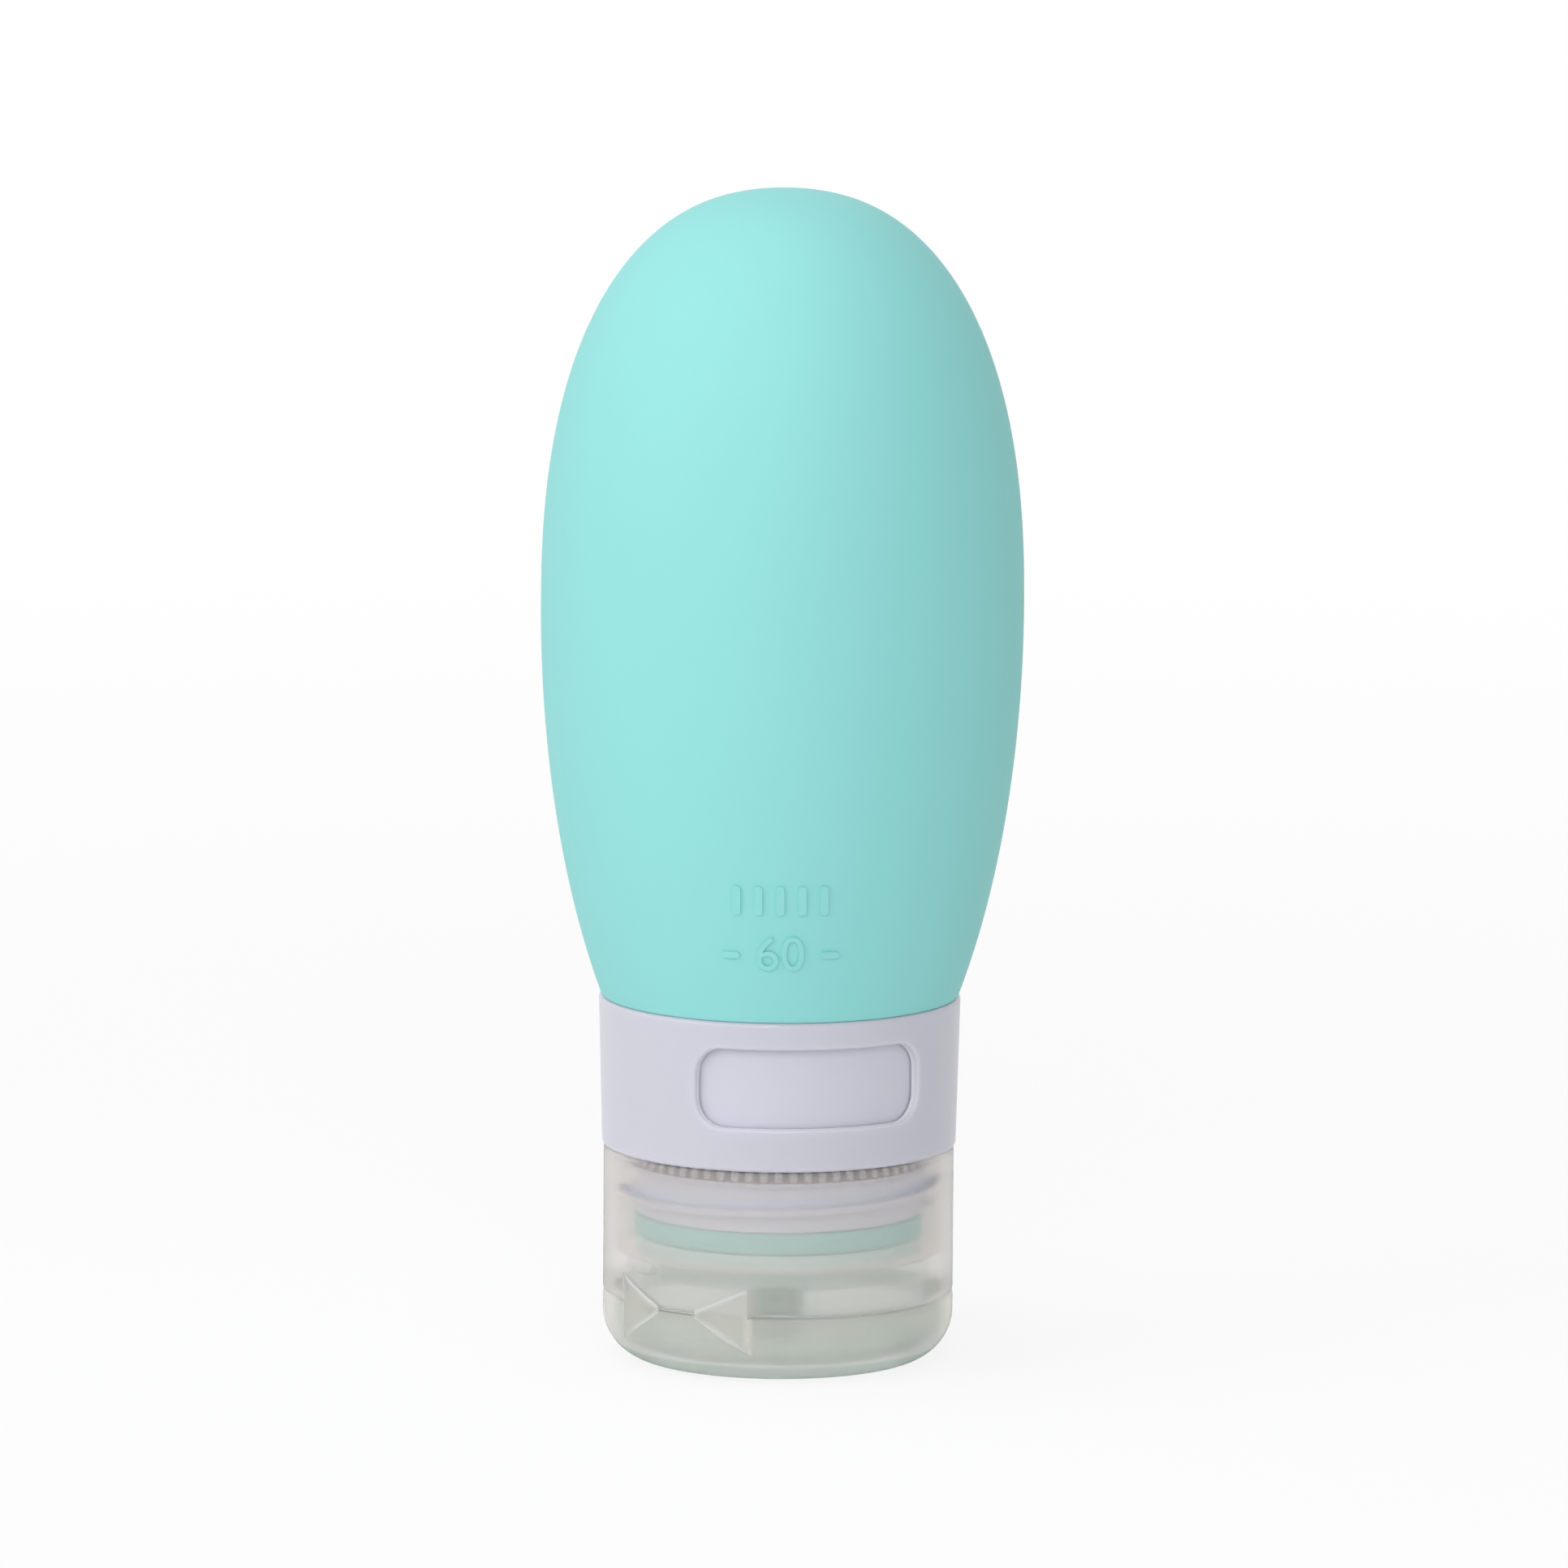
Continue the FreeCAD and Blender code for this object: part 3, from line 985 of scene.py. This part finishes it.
@dataclass
class NeckParts:
    """The sleeve, the window collar and the label ring round the neck.

    The ring's wall is straight, which its numbers take for a taper of great depth.
    """

    ring_radius: float = 14.68
    number_level: float = 26.2
    number_height: float = 6.2
    number_raise: float = 0.04
    number_sink: float = 0.1
    window_turn_deg: float = 11.4
    numbers: tuple[str, ...] = ("1", "2", "3")
    straight_depth: float = 1000.0

    def build_numbers(self) -> list[bpy.types.Object]:
        """Make the plain numbers on the ring, which the collar hides at rest.

        Returns:
            The numbers' pieces.
        """
        tree, names = number_tree()
        pieces = []
        for index, number in enumerate(self.numbers):
            turn = self.window_turn_deg + 360 / (len(self.numbers) + 1) * (index + 1)
            pieces.append(
                run_group(
                    f"ring_number_{number}",
                    bpy.data.meshes.new("number_start"),
                    tree,
                    names,
                    {
                        "Number": number,
                        "Height": self.number_height * MM,
                        "Raise": self.number_raise * MM,
                        "Sink": self.number_sink * MM,
                        "Level": self.number_level * MM,
                        "Turn": math.radians(turn),
                        "Widest Level": self.number_level * MM,
                        "Widest Radius": self.ring_radius * MM,
                        "Taper Depth": self.straight_depth * MM,
                        "Finish": NUMBERS.material(),
                    },
                )
            )
        return pieces

    def dress(self) -> None:
        """Give the solids their finishes and put the numbers on the ring."""
        paint("neck_sleeve", SLEEVE)
        paint("window_collar", COLLAR)
        paint("label_ring", RING)
        for piece in self.build_numbers():
            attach(piece, "label")
            report(piece)


@dataclass
class DripValve:
    """The milky disc between the mouth and the cap: a thick rim, a thin web and a slit dish."""

    radius: float = 12.3
    low: float = 9.65
    rim_height: float = 1.4
    rim_width: float = 2.8
    rim_round: float = 0.3
    rim_steps: int = 4
    web: float = 0.8
    dish_radius: float = 4.2
    dish_rise: float = 1.0
    slit_length: float = 4.4
    slit_width: float = 0.15
    slit_overrun: float = 1.0
    arc_steps: int = 14
    turn_steps: int = 128

    def dish(self, level: float) -> list[Vector]:
        """Follow a dish from the axis to its edge.

        Args:
            level: the level of its edge.

        Returns:
            Its (radius, level) points.
        """
        curve = (self.dish_radius**2 + self.dish_rise**2) / (2 * self.dish_rise)
        points = []
        for step in range(self.arc_steps + 1):
            side = self.dish_radius * step / self.arc_steps
            rise = self.dish_rise - curve + math.sqrt(curve**2 - side**2)
            points.append(Vector((side, level + rise)))
        return points

    def outline(self) -> list[Vector]:
        """Draw the half section.

        Returns:
            Its (radius, level) points, from the dish's top round the rim to the dish's underside.
        """
        top = self.low + self.rim_height
        web_top = self.low + self.web
        bore = self.radius - self.rim_width
        root = Vector((bore, web_top))
        inner = Vector((bore, top))
        outer = Vector((self.radius, top))
        seat = Vector((self.radius, self.low))
        under = self.dish(self.low)
        return [
            *self.dish(web_top),
            root,
            *rounded_corner(root, inner, outer, self.rim_round, self.rim_steps),
            *rounded_corner(inner, outer, seat, self.rim_round, self.rim_steps),
            *rounded_corner(outer, seat, under[-1], self.rim_round, self.rim_steps),
            *reversed(under),
        ]

    def slit_cutter(self) -> bpy.types.Object:
        """Make a tall cross of the slit's length and width.

        Returns:
            The cross, which cuts the disc.
        """
        long, narrow = self.slit_length / 2 * MM, self.slit_width / 2 * MM
        corners = []
        for turn in range(4):
            quarter = Matrix.Rotation(turn * math.pi / 2, 3, "Z")
            for x, y in ((long, narrow), (narrow, narrow), (narrow, long)):
                corners.append(quarter @ Vector((x, y, (self.low - self.slit_overrun) * MM)))
        shell = bmesh.new()
        floor = shell.faces.new([shell.verts.new(corner) for corner in corners])
        risen = bmesh.ops.extrude_face_region(shell, geom=[floor])["geom"]
        height = self.web + self.dish_rise + 2 * self.slit_overrun
        tops = [part for part in risen if isinstance(part, bmesh.types.BMVert)]
        bmesh.ops.translate(shell, verts=tops, vec=(0.0, 0.0, height * MM))
        bmesh.ops.recalc_face_normals(shell, faces=shell.faces)
        return add_object("slit_cutter", shell_mesh("slit_cutter", shell))

    def build(self) -> bpy.types.Object:
        """Turn the disc and cut its cross slit.

        Returns:
            The disc.
        """
        bore = self.radius - self.rim_width
        disc = turned_piece("valve_disc", self.outline(), bore / 2, self.turn_steps, MILKY)
        cutter = self.slit_cutter()
        cut = disc.modifiers.new("slit", "BOOLEAN")
        cut.operation = "DIFFERENCE"
        cut.solver = "EXACT"
        cut.object = cutter
        keep_shape(disc)
        bpy.data.objects.remove(cutter)
        return disc

    def dress(self) -> None:
        """Build the disc and let it travel with the cap."""
        disc = self.build()
        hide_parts("drip_valve")
        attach(disc, "valve")
        report(disc)


@dataclass
class FlipCap:
    """The screw cap, the flip lid and the butterfly hinge between them.

    The web's and the film's highlight reach are how far painted highlights reach in from a rim.
    The lower and the upright highlight are how bright those rims are painted; the upper one, lit
    from above, has 1.
    """

    radius: float = 15.25
    lid_edge_round: float = 4.4
    hinge_deg: float = 234.0
    hinge_level: float = 6.0
    lid_top: float = 5.9
    cap_low: float = 6.1
    skin_inset: float = 0.1
    film_width: float = 4.6
    film_thickness: float = 0.4
    film_rows: int = 6
    film_half_columns: int = 6
    web_gap: float = 0.15
    web_fill_share: float = 0.95
    web_span: float = 12.6
    web_rise: float = 2.2
    web_drop: float = 2.9
    web_thickness: float = 0.45
    web_columns: int = 26
    web_rows: int = 22
    web_highlight_reach: float = 0.55
    film_highlight_reach: float = 0.05
    lower_highlight: float = 0.6
    upright_highlight: float = 0.4
    bend_height: float = 0.9

    def hinge_point(self, along: float, out: float, level: float) -> Vector:
        """Find a point from its place at the hinge.

        Args:
            along: how far it is along the hinge, from its middle.
            out: how far out from the axis.
            level: how far up.

        Returns:
            The point in metres.
        """
        angle = math.radians(self.hinge_deg)
        outward = Vector((math.cos(angle), math.sin(angle), 0.0))
        sideways = Vector((-math.sin(angle), math.cos(angle), 0.0))
        return (outward * out + sideways * along + Vector((0.0, 0.0, level))) * MM

    def skin_radius(self, level: float) -> float:
        """Find the outside radius of cap and lid.

        Args:
            level: the level.

        Returns:
            The radius there.
        """
        if level >= self.lid_edge_round:
            return self.radius
        drop = self.lid_edge_round - level
        return self.radius - self.lid_edge_round + math.sqrt(self.lid_edge_round**2 - drop**2)

    def sheet_mesh(
        self, name: str, rows: list[list[tuple[float, float]]], thickness: float, highlight_reach: float
    ) -> bpy.types.Object:
        """Make a thin closed plate just under the outside of cap and lid, with painted highlights
        along its rim.

        Args:
            name: the piece's name.
            rows: rows of (along the hinge, level) places.
            thickness: the plate's thickness.
            highlight_reach: how far the painted highlight reaches in from the rim.

        Returns:
            The plate.
        """
        shell = bmesh.new()
        fold = shell.verts.layers.float.new("fold")
        sides = []
        for depth in (self.skin_inset, self.skin_inset + thickness):
            layer = []
            for row in rows:
                line = []
                for column, (along, level) in enumerate(row):
                    skin = self.skin_radius(level) - depth
                    out = math.sqrt(skin**2 - along**2)
                    point = shell.verts.new(self.hinge_point(along, out, level))
                    from_top = rows[-1][column][1] - level
                    from_low = level - rows[0][column][1]
                    from_end = min(abs(along - row[0][0]), abs(row[-1][0] - along))
                    # Painted highlight along the rims: full along the upper rim, weaker along the
                    # lower and upright rims.
                    upper = 1 - from_top / highlight_reach
                    lower = self.lower_highlight * (1 - from_low / highlight_reach)
                    upright = self.upright_highlight * (1 - from_end / highlight_reach)
                    point[fold] = max(upper, lower, upright, 0.0)
                    line.append(point)
                layer.append(line)
            sides.append(layer)
        strips = [pair for layer in sides for pair in zip(layer, layer[1:])]
        strips.append(tuple(self.rim_points(layer) for layer in sides))
        for line, other in strips:
            for corners in zip(line, line[1:], other[1:], other):
                shell.faces.new(corners)
        bmesh.ops.recalc_face_normals(shell, faces=shell.faces)
        mesh = shell_mesh(name, shell)
        mesh.materials.append(HINGE.material())
        return add_object(name, mesh)

    @staticmethod
    def rim_points(layer: list[list[bmesh.types.BMVert]]) -> list[bmesh.types.BMVert]:
        """Go once round the rim of a layer of points.

        Args:
            layer: the layer's rows.

        Returns:
            The points of its rim in order, with the first one again at the end.
        """
        up = [line[-1] for line in layer[1:-1]]
        down = [line[0] for line in reversed(layer[:-1])]
        return [*layer[0], *up, *reversed(layer[-1]), *down]

    def build_web(self, name: str, side: int) -> bpy.types.Object:
        """Make one triangular web.

        Args:
            name: the piece's name.
            side: the side of the hinge, 1 or -1.

        Returns:
            The web.
        """
        margin = self.film_thickness / 2 + self.web_gap * self.web_fill_share
        inner = self.film_width / 2 - margin
        outer = self.web_span / 2 + margin
        rows = []
        for row in range(self.web_rows + 1):
            line = []
            for column in range(self.web_columns + 1):
                reach = column / self.web_columns
                top = self.hinge_level + margin + self.web_rise * reach
                low = self.hinge_level - margin - self.web_drop * reach
                along = side * (inner + (outer - inner) * reach)
                line.append((along, low + (top - low) * row / self.web_rows))
            rows.append(line)
        return self.sheet_mesh(name, rows, self.web_thickness, self.web_highlight_reach)

    def build_film(self) -> bpy.types.Object:
        """Make the strip between the rims of cap and lid.

        Returns:
            The strip.
        """
        half = self.film_width / 2 - self.film_thickness / 2 - self.web_gap
        columns = range(2 * self.film_half_columns + 1)
        alongs = [half * (column / self.film_half_columns - 1) for column in columns]
        rows = []
        for row in range(self.film_rows + 1):
            level = self.lid_top + (self.cap_low - self.lid_top) * row / self.film_rows
            rows.append([(along, level) for along in alongs])
        return self.sheet_mesh("hinge_strip", rows, self.film_thickness, self.film_highlight_reach)

    def dress(self) -> None:
        """Give the solids their finishes and put in the hinge's strip and webs."""
        paint("cap_base", FROSTED)
        paint("flip_lid", LID)
        hinge = {
            "hinge_film": (self.build_film(), (self.cap_low - self.lid_top) / 2),
            "hinge_web_left": (self.build_web("hinge_wing_left", -1), self.bend_height),
            "hinge_web_right": (self.build_web("hinge_wing_right", 1), self.bend_height),
        }
        for node, (piece, reach) in hinge.items():
            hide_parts(node)
            start = self.hinge_point(0.0, self.radius, self.hinge_level + reach)
            end = self.hinge_point(0.0, self.radius, self.hinge_level - reach)
            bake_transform(piece)
            report(piece)


@dataclass(frozen=True)
class Lamp:
    """A square soft lamp: its place and side in metres, and its power in watts."""

    name: str
    place: Place
    size: float
    power: float


@dataclass
class Studio:
    """The floor, the lights and the camera round the bottle.

    Its lengths are in metres, and the camera's sensor is in millimetres.
    """

    floor_radius: float = 3.0
    floor_steps: int = 96
    floor_tone: Colour = (0.9, 0.9, 0.9)
    white_from: float = 0.12
    white_to: float = 0.5
    white_near: float = 0.84
    distance: float = 2.6
    view_width: float = 0.1364
    elevation_deg: float = 9.5
    roll_deg: float = 0.4
    aim: Place = (0.00024, 0.0, 0.05054)
    sensor: float = 36.0
    clip_end: float = 20.0
    world_level: float = 0.58
    world_fall: float = 0.18
    lamps: tuple[Lamp, ...] = (
        Lamp("key_lamp", (-0.75, -0.45, 0.5), 0.6, 1.8),
        Lamp("front_lamp", (-0.05, -0.9, 0.55), 0.5, 2.6),
        Lamp("top_lamp", (-0.1, -0.05, 0.8), 0.4, 1.1),
    )

    def build_floor(self) -> None:
        """Lay a plain pale floor that turns white away from the bottle."""
        shell = bmesh.new()
        bmesh.ops.create_circle(
            shell, cap_ends=True, segments=self.floor_steps, radius=self.floor_radius
        )
        floor = add_object("studio_floor", shell_mesh("studio_floor", shell))
        floor.data.materials.append(self.floor_material())

    def floor_material(self) -> bpy.types.Material:
        """Make the floor's paint, which turns from lit and shadowed to plain white further off.

        Returns:
            The material.
        """
        made = bpy.data.materials.new("floor_paint")
        tree = new_nodes(made)
        place = tree.add("ShaderNodeTexCoord", output="Object")
        far = tree.add("ShaderNodeVectorMath", {0: place}, output="Value", operation="LENGTH")
        white = tree.rise(far, self.white_from, self.white_to, self.white_near)
        seen = self.seen_rays(tree)
        lit = tree.add("ShaderNodeBsdfDiffuse", {"Color": self.floor_tone})
        glow = tree.add("ShaderNodeEmission", {"Color": WHITE, "Strength": 1.0})
        mixed = tree.add("ShaderNodeMixShader", {0: white * seen, 1: lit, 2: glow})
        tree.add("ShaderNodeOutputMaterial", {"Surface": mixed})
        return made

    @staticmethod
    def seen_rays(tree: Tree) -> Socket:
        """Pick out the rays that show the background: camera, glossy and transmission rays.

        Args:
            tree: the tree that asks.

        Returns:
            1 for these rays, and 0 for the others.
        """
        path = tree.add("ShaderNodeLightPath", output="Is Camera Ray")
        glossy = path.other("Is Glossy Ray")
        through = path.other("Is Transmission Ray")
        return path.maths("MAXIMUM", path, path.maths("MAXIMUM", glossy, through))

    def build_world(self) -> None:
        """Light the room, a little less from the right, with a white background for the camera."""
        world = bpy.data.worlds.new("studio")
        tree = new_nodes(world)
        way = tree.add("ShaderNodeTexCoord", output="Generated")
        to_right = tree.add("ShaderNodeSeparateXYZ", {0: way}, output="X")
        light = self.world_level - to_right * self.world_fall
        seen = self.seen_rays(tree)
        strength = light * (1.0 - seen) + seen
        room = tree.add("ShaderNodeBackground", {"Color": WHITE, "Strength": strength})
        tree.add("ShaderNodeOutputWorld", {"Surface": room})
        bpy.context.scene.world = world

    def build_lamps(self) -> None:
        """Hang the soft lamps, most of the light at the left, and point them at the bottle."""
        for lamp in self.lamps:
            light = bpy.data.lights.new(lamp.name, "AREA")
            light.size = lamp.size
            light.energy = lamp.power
            hung = add_object(lamp.name, light)
            hung.location = lamp.place
            way = Vector(self.aim) - hung.location
            hung.rotation_euler = way.to_track_quat("-Z", "Y").to_euler()

    def build_camera(self) -> None:
        """Set up the camera at the photograph's viewing angle."""
        camera = bpy.data.cameras.new("photo_camera")
        camera.sensor_width = self.sensor
        camera.lens = self.sensor * self.distance / self.view_width
        camera.clip_end = self.clip_end
        rise = math.radians(self.elevation_deg)
        back = Vector((0.0, -math.cos(rise), math.sin(rise)))
        stand = add_object("photo_camera", camera)
        stand.location = Vector(self.aim) + back * self.distance
        level = (-back).to_track_quat("-Z", "Y")
        roll = Quaternion((0.0, 0.0, 1.0), math.radians(self.roll_deg))
        stand.rotation_euler = (level @ roll).to_euler()
        bpy.context.scene.camera = stand

    def build(self) -> None:
        """Set up the whole room."""
        bpy.context.scene.view_settings.view_transform = "Standard"
        self.build_floor()
        self.build_world()
        self.build_lamps()
        self.build_camera()


def paint(node: str, finish: Finish) -> None:
    """Give a solid of the frame a finish.

    Args:
        node: the solid's name.
        finish: what it is made of.
    """
    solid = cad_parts[node]
    solid.data.materials.clear()
    solid.data.materials.append(finish.material())
    log.info("%s dressed in %s", node, finish.name)


def report(piece: bpy.types.Object) -> None:
    """Log a finished piece."""
    log.info("%s made, %d faces", piece.name, len(piece.data.polygons))


def main() -> None:
    """Build the bottle's looks piece by piece, then the studio round it."""
    logging.basicConfig(level=logging.INFO, format="%(name)s: %(message)s")
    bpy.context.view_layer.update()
    SqueezeBody().dress()
    NeckParts().dress()
    DripValve().dress()
    FlipCap().dress()
    Studio().build()


if __name__ == "__main__":
    main()
